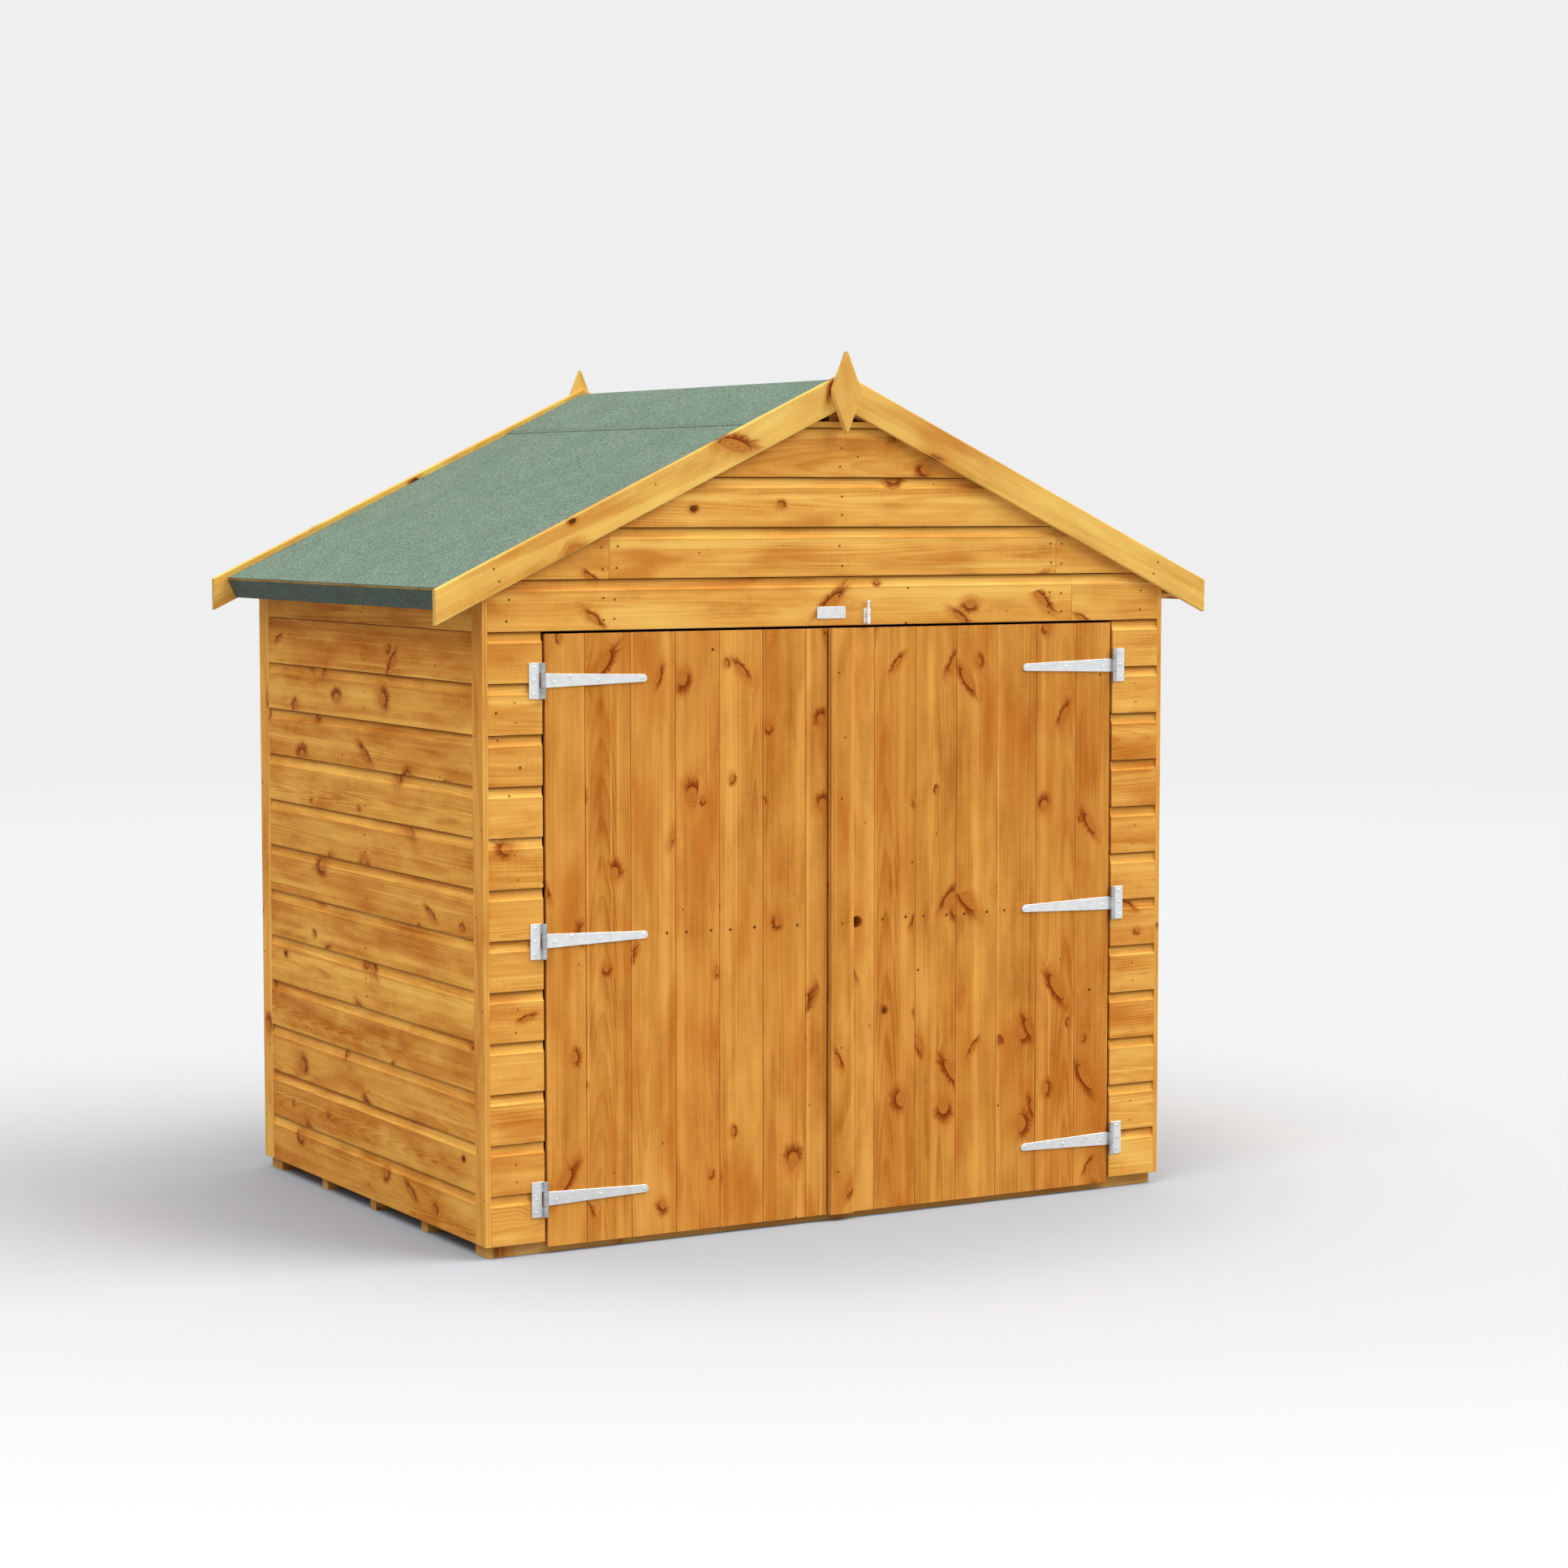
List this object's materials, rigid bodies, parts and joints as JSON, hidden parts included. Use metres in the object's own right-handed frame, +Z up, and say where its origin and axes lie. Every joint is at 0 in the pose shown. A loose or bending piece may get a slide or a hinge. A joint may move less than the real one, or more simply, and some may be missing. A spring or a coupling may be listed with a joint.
{
  "type": "garden shed",
  "caption": "Apex garden shed with shiplap walls on a timber frame, a felt roof with bargeboards and finials, and outward-opening doors on T-hinges.",
  "frame": {"origin": "on the ground, in the middle of the shed's footprint", "axes": "+X to the right along the front, +Y from the front to the back, +Z up"},
  "size_m": [2.034, 1.364, 1.9959],
  "materials": {
    "cladding_timber": "matt stained softwood",
    "door_timber": "matt stained softwood",
    "trim_timber": "matt stained softwood, planed",
    "frame_timber": "bare planed softwood",
    "roofing_felt": "mineral surfaced, matt",
    "zinc_steel": "bright zinc plated"
  },
  "bodies": {
    "shed": {"floor_joists": "frame_timber", "floor_deck": "frame_timber", "left_wall_cladding": "cladding_timber", "left_wall_studs": "frame_timber", "left_wall_rails": "frame_timber", "right_wall_cladding": "cladding_timber", "right_wall_studs": "frame_timber", "right_wall_rails": "frame_timber", "back_wall_cladding": "cladding_timber", "back_wall_studs": "frame_timber", "back_wall_rails": "frame_timber", "back_gable_rails": "frame_timber", "front_left_cladding": "cladding_timber", "front_right_cladding": "cladding_timber", "front_gable_cladding": "cladding_timber", "front_wall_studs": "frame_timber", "front_wall_rails": "frame_timber", "front_gable_rails": "frame_timber", "corner_trim_front_left": "trim_timber", "corner_trim_front_right": "trim_timber", "corner_trim_back_left": "trim_timber", "corner_trim_back_right": "trim_timber", "roof_boards_left": "frame_timber", "roof_boards_right": "frame_timber", "roof_battens": "frame_timber", "roof_felt_left": "roofing_felt", "roof_felt_right": "roofing_felt", "ridge_felt": "roofing_felt", "bargeboard_front_left": "trim_timber", "bargeboard_front_right": "trim_timber", "bargeboard_back_left": "trim_timber", "bargeboard_back_right": "trim_timber", "finial_front": "trim_timber", "finial_back": "trim_timber", "left_hinge_plates": "zinc_steel", "right_hinge_plates": "zinc_steel", "bolt_plate": "zinc_steel"},
    "left_door": {"left_door_boards": "door_timber", "left_door_ledges": "door_timber", "left_hinge_straps": "zinc_steel"},
    "right_door": {"right_door_boards": "door_timber", "right_door_ledges": "door_timber", "right_hinge_straps": "zinc_steel", "door_cover_strip": "trim_timber"},
    "top_bolt": {"bolt_rod": "zinc_steel"}
  },
  "joints": [
    {"name": "left_door_hinge", "type": "hinge", "parent": "shed", "child": "left_door", "pos_m": [-0.758, -0.657, 0.696], "axis": [0, 0, -1], "range_deg": [0, 170]},
    {"name": "right_door_hinge", "type": "hinge", "parent": "shed", "child": "right_door", "pos_m": [0.758, -0.657, 0.696], "axis": [0, 0, 1], "range_deg": [0, 170]},
    {"name": "top_bolt_slide", "type": "slide", "parent": "shed", "child": "top_bolt", "axis": [0, 0, 1], "range_m": [-0.013, 0]}
  ]
}
